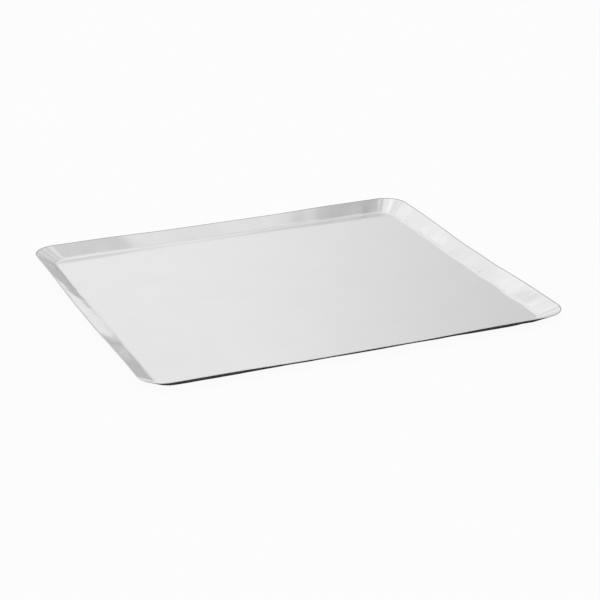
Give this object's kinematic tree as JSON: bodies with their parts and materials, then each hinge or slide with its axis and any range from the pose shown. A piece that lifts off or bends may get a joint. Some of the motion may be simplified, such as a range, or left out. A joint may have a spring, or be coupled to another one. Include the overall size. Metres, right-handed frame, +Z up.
{
  "type": "pastry display tray",
  "caption": "Shallow stainless-steel display tray pressed from one sheet: flat floor, low flared walls, rounded corners and a plain deburred rim.",
  "frame": {"origin": "centre of the underside of the floor, on the surface the tray rests on", "axes": "+X along the long sides, +Y across towards the back, +Z up out of the tray"},
  "size_m": [0.3538, 0.3278, 0.0099],
  "materials": {
    "stainless_steel": "bright rolled, lightly satin, walls a little wavy from the press"
  },
  "bodies": {
    "root": {"tray_pan": "stainless_steel"}
  },
  "joints": []
}
